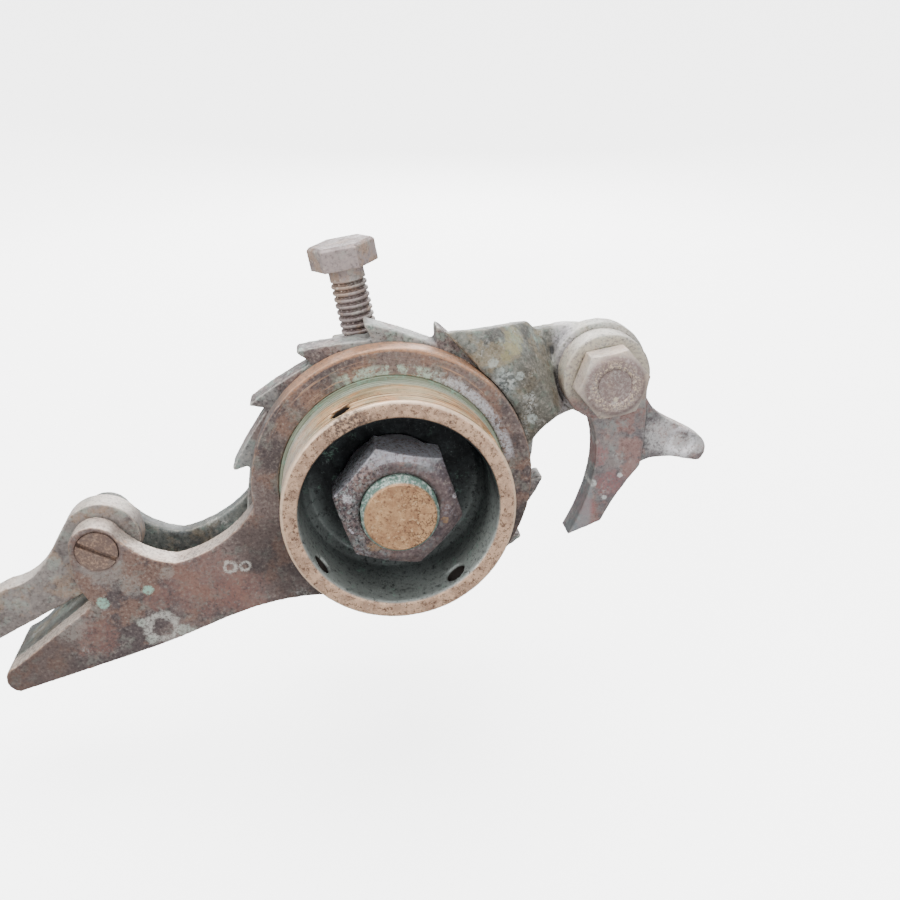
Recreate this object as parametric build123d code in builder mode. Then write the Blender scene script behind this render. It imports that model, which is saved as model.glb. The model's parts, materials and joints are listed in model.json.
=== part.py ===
"""Door closer: a ratcheted torsion-spring closer with a forked arm, a pawl and a link.

Frame: the spindle axis is the Y axis. The origin is where that axis meets the back
face of the mounting plate. +Y points into the door frame, +Z is up, and the arm
assembly stands out along -Y. Millimetres.
"""
from build123d import *
from math import cos, radians, sin
import os

# ---------------------------------------------------------------- stations along Y
MOUNT_FACE = 0.0
PLATE_FRONT = -5.0
SPINDLE_HEAD_FRONT = -2.5
COVER_BACK = -20.4
COVER_FRONT = -22.4
HUB_BACK = -22.9
WEB_BACK = -27.7
WEB_FRONT = -31.3
REAR_BOSS_FRONT = -34.5
WHEEL_BACK = -34.8
WHEEL_FRONT = -40.8
CHEEK_BACK = -41.1
CHEEK_FRONT = -46.8
CUP_FLOOR_FRONT = -45.1
WASHER_BACK = -45.4
NUT_BACK = -50.6
NUT_FRONT = -60.4
CUP_RIM = -62.0
STUD_END = -63.8
PAWL_BACK = REAR_BOSS_FRONT - 0.3
PAWL_FRONT = -41.0

# ---------------------------------------------------------------- driving sizes
CUP_R = 24.0
CUP_BORE_R = 20.2
CUP_NECK_R = 23.2
FRONT_BUSH_R = 24.4
FLANGE_R = 30.4
TOMMY_R = 2.3
TOMMY_Y = CUP_RIM + 4.0
TOMMY_ANGLES = (118.0, 217.0, 306.0, 37.0)

TEETH = 14
TIP_R = 34.5
ROOT_R = 30.8
TOOTH_PITCH = 360.0 / TEETH
TIP_PHASE = -4.1
UNDERCUT = 2.4
TOOTH_BELLY = 1.05

STUD_R = 7.94
STUD_PITCH = 2.31
SHAFT_R = 8.9
SPINDLE_HEAD_R = 13.0
DOWEL_Z, DOWEL_R = -11.0, 1.2
SLEEVE_BORE_R = SHAFT_R + 0.06
SLEEVE_R = 10.8
CUP_DOWEL_CIRCLE_R = 15.0
CUP_DOWEL_R = 1.48
CUP_DOWEL_HOLE_R = 1.5
CUP_DOWEL_DEPTH = 3.0
NUT_FLATS = 23.8
NUT_FACE_R = 10.5
NUT_FACE_SPAN = 5.5
NUT_FACE_DROP = 3.4
WASHER_R = 11.0
NUT_TURN = -11.7

TUBE_R = 16.0
TAIL_R = 12.3
TUBE_END = -5.6
REAR_BUSH_BORE_R = TUBE_R + 0.06
REAR_BUSH_R = 18.5
REAR_HUB_R = 28.2

BARREL_R = 19.5
BARREL_BORE_R = 16.6
COVER_BORE_R = 12.9
SPRING_R = 14.45
WIRE_R = 1.25
SPRING_TURNS = 4.0
SPRING_START = -18.0
SPRING_PITCH = 2.75
COVER_SCREW_R = 0.88
COVER_SCREW_HEAD_R = 1.25
COVER_SCREW_HOLE_R = 0.9
COVER_SCREW_CIRCLE_R = (BARREL_R + BARREL_BORE_R) / 2
COVER_SCREW_BITE = 5.5

SET_BOLT_ANGLE = 100.5
SET_BOLT_Y = -28.7
SET_BOLT_R = 3.97
SET_BOLT_PITCH = 1.41
SET_BOLT_TIP = 19.4
SET_BOLT_NECK = 42.2
SET_HEAD_BASE = 44.9
SET_HEAD_TOP = 50.0
SET_HEAD_TURN = 23.5
SET_HEAD_FLATS = 12.9
PAD_TOP = 29.0

SHROUD_FRONT = -44.2
SHROUD_BACK = -41.1
SHROUD_CREASE_R = 38.6
SHROUD_FOOT_R = 44.5
SHROUD_WALL = 3.2
SHROUD_SLOPE = 0.2
SHROUD_SLOT = ((18.3, 25.3), (11.5, 32.7))
SHROUD_TOP = ((23.1, 33.3), (34.8, 34.0), (46.0, 33.0))
SHROUD_LOW = ((46.0, 17.0), (36.8, 13.2), (33.5, 10.6), (31.4, 8.3), (29.0, 4.6))

PAWL_X, PAWL_Z = 48.0, 20.1
PAWL_EYE_R = 9.9
PAWL_BOSS_R = 11.0
PAWL_TAIL_FRONT = -39.3
PAWL_BOLT_R = 4.76
PAWL_BUSH_R = 6.6
PAWL_HEAD_FRONT = -47.2
PAWL_HEAD_FLATS = 14.3
PAWL_HEAD_TURN = 10.5
PAWL_DISH_R = 4.0
PAWL_FACE_R = 6.0
PAWL_FACE_SPAN = 3.0
PAWL_FACE_DROP = 1.8

LINK_X, LINK_Z = -63.5, -11.9
SHOULDER = (-26.0, 8.0)
DIP = (-47.6, -15.6)
EYE_START = (-59.6, -8.4)
EYE_END = (-69.4, -12.4)
NOTCH = (-66.0, -24.7)
TAIL_TOP = (-84.0, -38.8)
TAIL_END = (-86.6, -42.4)
TAIL_LOW = (-84.0, -45.4)
BELLY = (-15.4, -26.3)
EYE_R = 5.9
LINK_EYE_R = 8.4
LINK_LOW, LINK_HIGH = 9.0, -0.8
LINK_FAR_R = 6.8
LINK_BACK = -35.0
LINK_ANGLE = 207.7
LINK_LENGTH = 46.0
LINK_END_BORE_R = 4.0
LINK_END_BUSH_R = 5.3
LINK_FRONT = -40.8
PIVOT_R = 2.9
PIVOT_BUSH_R = 4.2
PIVOT_HEAD_R = 4.4
SLOT_ANGLE = -27.0

CHEEK_SCREWS = ((-50.0, -30.0), (-74.0, -36.0))
CHEEK_SCREW_R = 2.0
CHEEK_SCREW_HEAD_R = 3.4
CHEEK_SCREW_BITE = 3.6

PLATE_HALF = 21.5
PLATE_BOTTOM = -47.0
SCREW_X, SCREW_Z1, SCREW_Z2 = 14.0, -27.0, -40.0
SCREW_R = 2.3
SCREW_HEAD_R = 4.5

RUN = 0.06


def station(y):
    """A plane facing the viewer (-Y) at the given Y, with local x = X and local y = Z."""
    return Plane.XZ.offset(-y)


def across_bolt(r):
    """The plane square to the set bolt's axis at radius r from the spindle, facing out."""
    x, z = polar(r, SET_BOLT_ANGLE)
    return Plane(origin=(x, SET_BOLT_Y, z), x_dir=(0, 1, 0), z_dir=polar3(SET_BOLT_ANGLE))


def polar3(degrees):
    """The unit vector in the XZ plane at an angle from +X towards +Z."""
    return (cos(radians(degrees)), 0, sin(radians(degrees)))


def polar(r, degrees):
    """A point of the XZ plane at radius r and an angle from +X towards +Z."""
    return (r * cos(radians(degrees)), r * sin(radians(degrees)))


def thread_edge(radius, pitch, start, end):
    """Points of a V-thread's outline along Y, from start to end, at the given radius."""
    depth = 0.6 * pitch
    count = int(abs(end - start) / pitch)
    step = (end - start) / count
    points = []
    for i in range(count):
        points.append((radius, start + (i + 0.18) * step))
        points.append((radius - depth, start + (i + 0.5) * step))
        points.append((radius, start + (i + 0.82) * step))
    return points


def arm_top(shoulder, dip, eye_start, eye_end):
    """The arm plates' top edge: down from the ring, through the dip and over the link eye."""
    ThreePointArc(shoulder, (-36.6, -10.7), dip)
    ThreePointArc(dip, (-54.1, -13.4), eye_start)
    ThreePointArc(eye_start, (-64.4, -6.1), eye_end)


def arm_belly(tail_top, tail_low, belly):
    """The arm plates' rounded tail and lower edge, back to the ring."""
    ThreePointArc(tail_top, TAIL_END, tail_low)
    Spline(tail_low, (-66.4, -40.2), (-48.4, -34.4), (-32.6, -28.4), belly)


# ================================================================ fixed pieces
with BuildPart() as mounting_plate:
    with BuildSketch(station(MOUNT_FACE)) as plate_outline:
        Circle(PLATE_HALF)
        with Locations((0, PLATE_BOTTOM / 2)):
            Rectangle(2 * PLATE_HALF, -PLATE_BOTTOM)
        low_corners = plate_outline.vertices().sort_by(Axis.Y)[:2]
        fillet(low_corners, radius=7.0)
    extrude(amount=MOUNT_FACE - PLATE_FRONT)
    front_edges = mounting_plate.faces().sort_by(Axis.Y)[0].edges()
    chamfer(front_edges, length=1.2)
    with BuildSketch(station(PLATE_FRONT)):
        Circle(BARREL_R)
    extrude(amount=PLATE_FRONT - COVER_BACK)
    with BuildSketch(station(PLATE_FRONT)):
        Circle(BARREL_BORE_R)
    extrude(amount=PLATE_FRONT - COVER_BACK, mode=Mode.SUBTRACT)
    with BuildSketch(station(MOUNT_FACE)):
        Circle(SPINDLE_HEAD_R)
    extrude(amount=MOUNT_FACE - SPINDLE_HEAD_FRONT, mode=Mode.SUBTRACT)
    with BuildSketch(station(MOUNT_FACE)):
        Circle(SHAFT_R)
    extrude(amount=MOUNT_FACE - PLATE_FRONT, mode=Mode.SUBTRACT)
    with Locations(station(PLATE_FRONT)):
        with Locations(*[(x, z) for x in (-SCREW_X, SCREW_X) for z in (SCREW_Z1, SCREW_Z2)]):
            CounterSinkHole(radius=SCREW_R, counter_sink_radius=SCREW_HEAD_R)
    with Locations(station(COVER_BACK)):
        with PolarLocations(COVER_SCREW_CIRCLE_R, 4, start_angle=45):
            Hole(radius=COVER_SCREW_HOLE_R, depth=COVER_SCREW_BITE + 0.5)
    with BuildSketch(station(SPINDLE_HEAD_FRONT)):
        with Locations((0, DOWEL_Z)):
            Circle(DOWEL_R)
    extrude(amount=1.5, mode=Mode.SUBTRACT)

with BuildPart() as spring_cover:
    with BuildSketch(station(COVER_BACK)):
        Circle(BARREL_R)
        Circle(COVER_BORE_R, mode=Mode.SUBTRACT)
    extrude(amount=COVER_BACK - COVER_FRONT)
    outer_edge = spring_cover.faces().sort_by(Axis.Y)[0].edges().sort_by(SortBy.LENGTH)[-1]
    chamfer(outer_edge, length=0.4)
    with Locations(station(COVER_FRONT)):
        with PolarLocations(COVER_SCREW_CIRCLE_R, 4, start_angle=45):
            CounterBoreHole(
                radius=COVER_SCREW_HOLE_R,
                counter_bore_radius=COVER_SCREW_HEAD_R + 0.05,
                counter_bore_depth=0.8,
            )

with BuildPart() as cover_screws:
    with BuildSketch(station(COVER_BACK + COVER_SCREW_BITE)):
        with PolarLocations(COVER_SCREW_CIRCLE_R, 4, start_angle=45):
            Circle(COVER_SCREW_R)
    extrude(amount=COVER_BACK + COVER_SCREW_BITE - COVER_FRONT - 0.1)
    with BuildSketch(station(COVER_FRONT + 0.8)):
        with PolarLocations(COVER_SCREW_CIRCLE_R, 4, start_angle=45):
            Circle(COVER_SCREW_HEAD_R)
    extrude(amount=0.7)

with BuildPart() as spindle:
    with BuildSketch(Plane.XY):
        with BuildLine():
            thread = thread_edge(STUD_R, STUD_PITCH, NUT_FRONT + 0.2, STUD_END + 0.6)
            Polyline(
                (0, MOUNT_FACE),
                (SPINDLE_HEAD_R - 0.05, MOUNT_FACE),
                (SPINDLE_HEAD_R - 0.05, SPINDLE_HEAD_FRONT),
                (SHAFT_R, SPINDLE_HEAD_FRONT),
                (SHAFT_R, WASHER_BACK),
                (STUD_R, WASHER_BACK),
                (STUD_R, NUT_FRONT + 0.2),
                *thread,
                (STUD_R - 0.9, STUD_END),
                (0, STUD_END),
                close=True,
            )
        make_face()
    revolve(axis=Axis.Y)
    with BuildSketch(station(SPINDLE_HEAD_FRONT)):
        with Locations((0, DOWEL_Z)):
            Circle(DOWEL_R)
    extrude(amount=SPINDLE_HEAD_FRONT - MOUNT_FACE, mode=Mode.SUBTRACT)

with BuildPart() as spindle_dowel:
    with BuildSketch(station(MOUNT_FACE - 0.3)):
        with Locations((0, DOWEL_Z)):
            Circle(DOWEL_R)
    extrude(amount=3.4)

with BuildPart() as spindle_nut:
    with BuildSketch(station(NUT_BACK)):
        RegularPolygon(NUT_FLATS / 2, 6, major_radius=False, rotation=NUT_TURN)
    extrude(amount=NUT_BACK - NUT_FRONT)
    with BuildSketch(Plane.XY):
        with BuildLine():
            Polyline(
                (NUT_FACE_R, NUT_FRONT),
                (NUT_FACE_R + NUT_FACE_SPAN, NUT_FRONT),
                (NUT_FACE_R + NUT_FACE_SPAN, NUT_FRONT + NUT_FACE_DROP),
                close=True,
            )
        make_face()
    revolve(axis=Axis.Y, mode=Mode.SUBTRACT)
    with BuildSketch(station(NUT_BACK)):
        Circle(STUD_R)
    extrude(amount=NUT_BACK - NUT_FRONT, mode=Mode.SUBTRACT)
    bore_rim = spindle_nut.faces().sort_by(Axis.Y)[0].edges().sort_by(SortBy.LENGTH)[0]
    chamfer(bore_rim, length=0.5)

with BuildPart() as nut_washer:
    with BuildSketch(station(WASHER_BACK)):
        Circle(WASHER_R)
        Circle(STUD_R, mode=Mode.SUBTRACT)
    extrude(amount=WASHER_BACK - NUT_BACK)

# ================================================================ ratchet pieces
with BuildPart() as tension_cup:
    with BuildSketch(Plane.XY):
        with BuildLine():
            Polyline(
                (SLEEVE_R, WHEEL_FRONT),
                (CUP_NECK_R, WHEEL_FRONT),
                (CUP_NECK_R, CHEEK_FRONT),
                (CUP_R - 0.25, CHEEK_FRONT - 0.3),
                (CUP_R, CUP_RIM + 0.5),
                (CUP_R - 0.5, CUP_RIM),
                (CUP_BORE_R + 0.6, CUP_RIM),
                (CUP_BORE_R, CUP_RIM + 0.6),
                (CUP_BORE_R - 0.4, CUP_FLOOR_FRONT - 1.5),
                (CUP_BORE_R - 1.9, CUP_FLOOR_FRONT),
                (SLEEVE_R, CUP_FLOOR_FRONT),
                close=True,
            )
        make_face()
    revolve(axis=Axis.Y)
    for angle in TOMMY_ANGLES:
        hole_x, hole_z = polar(CUP_R + 2.0, angle)
        out = (cos(radians(angle)), 0, sin(radians(angle)))
        with BuildSketch(Plane(origin=(hole_x, TOMMY_Y, hole_z), z_dir=out)):
            Circle(TOMMY_R)
        extrude(amount=-(CUP_R - CUP_BORE_R + 4.0), mode=Mode.SUBTRACT)
    with BuildSketch(station(WHEEL_FRONT)):
        with PolarLocations(CUP_DOWEL_CIRCLE_R, 3, start_angle=90):
            Circle(CUP_DOWEL_HOLE_R)
    extrude(amount=CUP_DOWEL_DEPTH, mode=Mode.SUBTRACT)

with BuildPart() as ratchet_wheel:
    with BuildSketch(station(WHEEL_BACK)):
        with BuildLine():
            for k in range(TEETH):
                tip = TIP_PHASE + k * TOOTH_PITCH
                under_tip = polar(ROOT_R, tip - UNDERCUT)
                flat_end = polar(TIP_R, tip - 1.3)
                back_mid = polar(ROOT_R + TOOTH_BELLY, tip - 0.6 * TOOTH_PITCH)
                next_root = polar(ROOT_R, tip - TOOTH_PITCH - UNDERCUT)
                Line(under_tip, polar(TIP_R - 0.15, tip))
                Line(polar(TIP_R - 0.15, tip), flat_end)
                ThreePointArc(flat_end, back_mid, next_root)
        make_face()
    extrude(amount=WHEEL_BACK - WHEEL_FRONT)
    with BuildSketch(station(WHEEL_BACK)):
        Circle(TUBE_R)
    extrude(amount=WHEEL_BACK - WHEEL_FRONT)
    with BuildSketch(Plane.XY):
        with BuildLine():
            Polyline(
                (SLEEVE_R, WHEEL_BACK),
                (TUBE_R, WHEEL_BACK),
                (TUBE_R, COVER_FRONT - 0.3),
                (TAIL_R, COVER_FRONT - 0.3),
                (TAIL_R, TUBE_END),
                (SLEEVE_R, TUBE_END),
                close=True,
            )
        make_face()
    revolve(axis=Axis.Y)
    with BuildSketch(station(TUBE_END)):
        Circle(SLEEVE_R)
    extrude(amount=TUBE_END - WHEEL_FRONT, mode=Mode.SUBTRACT)
    with BuildSketch(station(WHEEL_FRONT)):
        with PolarLocations(CUP_DOWEL_CIRCLE_R, 3, start_angle=90):
            Circle(CUP_DOWEL_HOLE_R)
    extrude(amount=-CUP_DOWEL_DEPTH, mode=Mode.SUBTRACT)

with BuildPart() as cup_dowels:
    with BuildSketch(station(WHEEL_FRONT + CUP_DOWEL_DEPTH - 0.1)):
        with PolarLocations(CUP_DOWEL_CIRCLE_R, 3, start_angle=90):
            Circle(CUP_DOWEL_R)
    extrude(amount=2 * (CUP_DOWEL_DEPTH - 0.1))

with BuildPart() as bearing_sleeve:
    with BuildSketch(station(TUBE_END)):
        Circle(SLEEVE_R)
        Circle(SLEEVE_BORE_R, mode=Mode.SUBTRACT)
    extrude(amount=TUBE_END - CUP_FLOOR_FRONT)

with BuildPart() as torsion_spring:
    with BuildLine() as coil_line:
        coil = Helix(
            pitch=SPRING_PITCH,
            height=SPRING_PITCH * SPRING_TURNS,
            radius=SPRING_R,
            center=(0, SPRING_START, 0),
            direction=(0, 1, 0),
        )
    with BuildSketch(Plane(origin=coil @ 0, z_dir=coil % 0)):
        Circle(WIRE_R)
    sweep(path=coil_line.wire())

# ================================================================ arm pieces
with BuildPart() as wheel_shroud:
    with BuildSketch(Plane.XY):
        with BuildLine():
            Polyline(
                (FLANGE_R + 0.05, SHROUD_FRONT),
                (SHROUD_CREASE_R, SHROUD_FRONT),
                (SHROUD_FOOT_R, WEB_FRONT),
                (SHROUD_FOOT_R, WEB_FRONT + 1.5),
                (SHROUD_FOOT_R - SHROUD_WALL, WEB_FRONT + 1.5),
                (SHROUD_FOOT_R - SHROUD_WALL, WEB_FRONT),
                (SHROUD_CREASE_R - SHROUD_WALL + 0.8, SHROUD_BACK),
                (FLANGE_R + 0.05, SHROUD_BACK),
                close=True,
            )
        make_face()
    revolve(axis=Axis.Y)
    with BuildSketch(station(SHROUD_FRONT)):
        with BuildLine():
            Polyline(*SHROUD_SLOT, *SHROUD_TOP, *SHROUD_LOW, close=True)
        make_face()
    extrude(amount=HUB_BACK - SHROUD_FRONT, dir=(0, 1, -SHROUD_SLOPE), mode=Mode.INTERSECT)

with BuildPart() as arm_front_cheek:
    with BuildSketch(station(CHEEK_BACK)):
        with BuildLine():
            arm_top(SHOULDER, DIP, EYE_START, EYE_END)
            ThreePointArc(EYE_END, (-68.9, -18.6), NOTCH)
            Line(NOTCH, TAIL_TOP)
            arm_belly(TAIL_TOP, TAIL_LOW, BELLY)
            Line(BELLY, SHOULDER)
        make_face()
        Circle(FLANGE_R)
        Circle(FRONT_BUSH_R, mode=Mode.SUBTRACT)
    extrude(amount=CHEEK_BACK - CHEEK_FRONT)
    with Locations(station(CHEEK_FRONT)):
        with Locations((LINK_X, LINK_Z)):
            CounterBoreHole(radius=PIVOT_R, counter_bore_radius=PIVOT_HEAD_R, counter_bore_depth=2.4)
    with BuildSketch(station(CHEEK_BACK)):
        with Locations(*CHEEK_SCREWS):
            Circle(CHEEK_SCREW_R)
    extrude(amount=CHEEK_SCREW_BITE, mode=Mode.SUBTRACT)

with BuildPart() as arm_rear_casting:
    with BuildSketch(station(WEB_BACK)):
        with BuildLine():
            arm_top(SHOULDER, DIP, EYE_START, EYE_END)
            ThreePointArc(EYE_END, (-72.4, -25.6), TAIL_TOP)
            arm_belly(TAIL_TOP, TAIL_LOW, BELLY)
            Line(BELLY, SHOULDER)
        make_face()
        Circle(REAR_HUB_R)
        with BuildLine():
            web_top = (PAWL_X - 2.0, PAWL_Z + PAWL_BOSS_R - 1.5)
            web_low = (PAWL_X - 4.0, PAWL_Z - 10.4)
            Polyline((0, REAR_HUB_R), (22.0, 26.6), (31.0, 28.6), (41.0, 30.2), web_top)
            Line(web_top, web_low)
            ThreePointArc(web_low, (35.2, 4.6), (30.2, -9.0))
            Polyline((30.2, -9.0), (20.0, -19.5), (0, REAR_HUB_R))
        make_face()
        with Locations((PAWL_X, PAWL_Z)):
            Circle(PAWL_BOSS_R - 1.3)
    extrude(amount=WEB_BACK - WEB_FRONT)
    add(wheel_shroud.part)
    with BuildSketch(station(REAR_BOSS_FRONT)):
        with Locations((PAWL_X, PAWL_Z)):
            Circle(PAWL_EYE_R + 1.0)
    extrude(amount=REAR_BOSS_FRONT - CHEEK_FRONT, mode=Mode.SUBTRACT)
    with BuildSketch(station(HUB_BACK)):
        Circle(REAR_HUB_R)
    extrude(amount=HUB_BACK - REAR_BOSS_FRONT)
    with BuildSketch(station(WEB_BACK - 2.0)):
        with Locations((PAWL_X, PAWL_Z)):
            Circle(PAWL_BOSS_R)
        with Locations((LINK_X, LINK_Z)):
            Circle(EYE_R)
    extrude(amount=WEB_BACK - 2.0 - REAR_BOSS_FRONT)
    with BuildSketch(station(WEB_FRONT)):
        with BuildLine():
            Spline(TAIL_LOW, (-66.4, -40.2), (-48.4, -34.4), (-38.0, -30.1))
            Polyline((-38.0, -30.1), (-38.0, -25.5), (-57.0, -23.2), (-66.2, -25.9), TAIL_TOP)
            ThreePointArc(TAIL_TOP, TAIL_END, TAIL_LOW)
        make_face()
    extrude(amount=WEB_FRONT - CHEEK_BACK)
    with BuildSketch(across_bolt(REAR_BUSH_R)):
        Rectangle(HUB_BACK - REAR_BOSS_FRONT, 13.0)
    extrude(amount=PAD_TOP - REAR_BUSH_R)
    with BuildSketch(across_bolt(0)):
        Circle(SET_BOLT_R + RUN)
    extrude(amount=PAD_TOP + 1, mode=Mode.SUBTRACT)
    with BuildSketch(station(HUB_BACK)):
        Circle(REAR_BUSH_R)
    extrude(amount=HUB_BACK - REAR_BOSS_FRONT, mode=Mode.SUBTRACT)
    with BuildSketch(station(WEB_BACK)):
        with Locations((PAWL_X, PAWL_Z)):
            Circle(PAWL_BOLT_R)
        with Locations((LINK_X, LINK_Z)):
            Circle(PIVOT_R)
    extrude(amount=WEB_BACK - REAR_BOSS_FRONT, mode=Mode.SUBTRACT)
    with Locations(station(WEB_BACK)):
        with Locations(*[Location((x, z, 0), (180, 0, 0)) for x, z in CHEEK_SCREWS]):
            CounterBoreHole(
                radius=CHEEK_SCREW_R,
                counter_bore_radius=CHEEK_SCREW_HEAD_R,
                counter_bore_depth=1.2,
                depth=WEB_BACK - CHEEK_BACK + 1,
            )

with BuildPart() as front_bush:
    with BuildSketch(station(CHEEK_BACK)):
        Circle(FRONT_BUSH_R)
        Circle(CUP_NECK_R + RUN, mode=Mode.SUBTRACT)
    extrude(amount=CHEEK_BACK - CHEEK_FRONT - 0.3)

with BuildPart() as rear_bush:
    with BuildSketch(station(HUB_BACK)):
        Circle(REAR_BUSH_R)
        Circle(REAR_BUSH_BORE_R, mode=Mode.SUBTRACT)
    extrude(amount=HUB_BACK - REAR_BOSS_FRONT)
    with BuildSketch(across_bolt(0)):
        Circle(SET_BOLT_R + 0.3)
    extrude(amount=PAD_TOP, mode=Mode.SUBTRACT)

with BuildPart() as pivot_bush:
    with BuildSketch(station(REAR_BOSS_FRONT)):
        with Locations((LINK_X, LINK_Z)):
            Circle(PIVOT_BUSH_R)
            Circle(PIVOT_R, mode=Mode.SUBTRACT)
    extrude(amount=REAR_BOSS_FRONT - CHEEK_BACK)

with BuildPart() as pivot_screw:
    with BuildSketch(station(WEB_BACK)):
        with Locations((LINK_X, LINK_Z)):
            Circle(PIVOT_R)
    extrude(amount=WEB_BACK - CHEEK_FRONT)
    with BuildSketch(station(CHEEK_FRONT + 2.4)):
        with Locations((LINK_X, LINK_Z)):
            Circle(PIVOT_HEAD_R)
    extrude(amount=2.5)
    with BuildSketch(station(CHEEK_FRONT + 1.1)):
        with Locations((LINK_X, LINK_Z)):
            Rectangle(2 * PIVOT_HEAD_R + 1, 1.1, rotation=SLOT_ANGLE)
    extrude(amount=2.0, mode=Mode.SUBTRACT)

with BuildPart() as pawl_bush:
    with BuildSketch(station(REAR_BOSS_FRONT)):
        with Locations((PAWL_X, PAWL_Z)):
            Circle(PAWL_BUSH_R)
            Circle(PAWL_BOLT_R, mode=Mode.SUBTRACT)
    extrude(amount=REAR_BOSS_FRONT - PAWL_FRONT + 0.3)

with BuildPart() as pawl_bolt:
    with BuildSketch(station(WEB_BACK + 1.5)):
        with Locations((PAWL_X, PAWL_Z)):
            Circle(PAWL_BOLT_R)
    extrude(amount=WEB_BACK + 1.5 - PAWL_HEAD_FRONT)
    with BuildSketch(station(PAWL_FRONT - 0.3)):
        with Locations((PAWL_X, PAWL_Z)):
            RegularPolygon(PAWL_HEAD_FLATS / 2, 6, major_radius=False, rotation=PAWL_HEAD_TURN)
    extrude(amount=PAWL_FRONT - 0.3 - PAWL_HEAD_FRONT)
    with BuildSketch(station(PAWL_HEAD_FRONT)):
        with Locations((PAWL_X, PAWL_Z)):
            Circle(PAWL_DISH_R)
    extrude(amount=-0.35, mode=Mode.SUBTRACT)
    with BuildSketch(Plane.XY.offset(PAWL_Z)):
        with BuildLine():
            Polyline(
                (PAWL_X + PAWL_FACE_R, PAWL_HEAD_FRONT),
                (PAWL_X + PAWL_FACE_R + PAWL_FACE_SPAN, PAWL_HEAD_FRONT),
                (PAWL_X + PAWL_FACE_R + PAWL_FACE_SPAN, PAWL_HEAD_FRONT + PAWL_FACE_DROP),
                close=True,
            )
        make_face()
    revolve(axis=Axis((PAWL_X, 0, PAWL_Z), (0, 1, 0)), mode=Mode.SUBTRACT)

with BuildPart() as cheek_screws:
    with BuildSketch(station(WEB_BACK)):
        with Locations(*CHEEK_SCREWS):
            Circle(CHEEK_SCREW_R)
    extrude(amount=WEB_BACK - CHEEK_BACK + CHEEK_SCREW_BITE)
    with BuildSketch(station(WEB_BACK - 0.1)):
        with Locations(*CHEEK_SCREWS):
            Circle(CHEEK_SCREW_HEAD_R)
    extrude(amount=1.1)

# ================================================================ moving pieces on the arm
with BuildPart() as pawl:
    with BuildSketch(station(PAWL_BACK)):
        with Locations((PAWL_X, PAWL_Z)):
            Circle(PAWL_EYE_R)
        with BuildLine():
            heel = (41.4, 15.8)
            nose = (40.5, -17.9)
            chin = (48.5, -14.7)
            crook = (57.0, -1.4)
            nape = (57.4, 16.8)
            Spline(heel, (45.5, 8.6), (46.3, 0.6), nose)
            Line(nose, chin)
            Spline(chin, (52.6, -7.2), crook)
            ThreePointArc(crook, (57.6, 8.0), nape)
            Line(nape, heel)
        make_face()
    extrude(amount=PAWL_BACK - PAWL_FRONT)
    with BuildSketch(station(PAWL_BACK)):
        with BuildLine():
            tail_low = (71.6, -1.5)
            tail_top = (71.4, 4.6)
            Spline(crook, (62.2, 0.0), (67.1, -0.6), tail_low)
            ThreePointArc(tail_low, (73.0, 1.3), tail_top)
            Spline(tail_top, (67.6, 6.9), (62.0, 10.0), nape)
            Line(nape, crook)
        make_face()
    extrude(amount=PAWL_BACK - PAWL_TAIL_FRONT)
    with BuildSketch(station(PAWL_BACK)):
        with Locations((PAWL_X, PAWL_Z)):
            Circle(PAWL_BUSH_R + RUN)
    extrude(amount=PAWL_BACK - PAWL_FRONT, mode=Mode.SUBTRACT)
    with BuildSketch(station(PAWL_TAIL_FRONT)):
        with Locations((67.2, 3.6)):
            Ellipse(3.9, 2.4, rotation=-12)
    extrude(amount=-0.5, mode=Mode.SUBTRACT)

along_link = Plane(
    origin=(LINK_X, LINK_BACK, LINK_Z), x_dir=polar3(LINK_ANGLE), z_dir=(0, -1, 0)
)
link_thickness = LINK_BACK - LINK_FRONT
far_eye = (LINK_LENGTH, (LINK_LOW + LINK_HIGH) / 2)

with BuildPart() as link:
    with BuildSketch(along_link):
        Circle(LINK_EYE_R)
        with Locations(far_eye):
            Circle(LINK_FAR_R)
        with BuildLine():
            neck = (4.4, -7.1)
            bar_top = (24.0, LINK_HIGH)
            Spline(neck, (8.5, -4.6), (13.8, -1.5), bar_top)
            Polyline(bar_top, (LINK_LENGTH, LINK_HIGH), (LINK_LENGTH, LINK_LOW), (0, LINK_LOW), neck)
        make_face()
        Circle(PIVOT_BUSH_R + RUN, mode=Mode.SUBTRACT)
        with Locations(far_eye):
            Circle(LINK_END_BUSH_R, mode=Mode.SUBTRACT)
    extrude(amount=link_thickness)

with BuildPart() as link_end_bush:
    with BuildSketch(along_link):
        with Locations(far_eye):
            Circle(LINK_END_BUSH_R)
            Circle(LINK_END_BORE_R, mode=Mode.SUBTRACT)
    extrude(amount=link_thickness)

with BuildPart() as set_bolt:
    bolt_axis = Axis((0, SET_BOLT_Y, 0), polar3(SET_BOLT_ANGLE))
    side = Plane(origin=(0, SET_BOLT_Y, 0), x_dir=(0, 1, 0), z_dir=polar3(SET_BOLT_ANGLE - 90))
    with BuildSketch(side):
        with BuildLine():
            thread = thread_edge(SET_BOLT_R, SET_BOLT_PITCH, SET_BOLT_NECK, SET_BOLT_TIP + 1.2)
            Polyline(
                (0, SET_HEAD_BASE),
                (SET_BOLT_R - 0.1, SET_HEAD_BASE),
                (SET_BOLT_R - 0.1, SET_BOLT_NECK),
                *thread,
                (SET_BOLT_R - 1.2, SET_BOLT_TIP),
                (0, SET_BOLT_TIP),
                close=True,
            )
        make_face()
    revolve(axis=bolt_axis)
    with BuildSketch(across_bolt(SET_HEAD_BASE)):
        RegularPolygon(SET_HEAD_FLATS / 2, 6, major_radius=False, rotation=SET_HEAD_TURN)
    extrude(amount=SET_HEAD_TOP - SET_HEAD_BASE)
    chamfer(set_bolt.faces().sort_by(bolt_axis)[-1].edges(), length=0.6)

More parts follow.
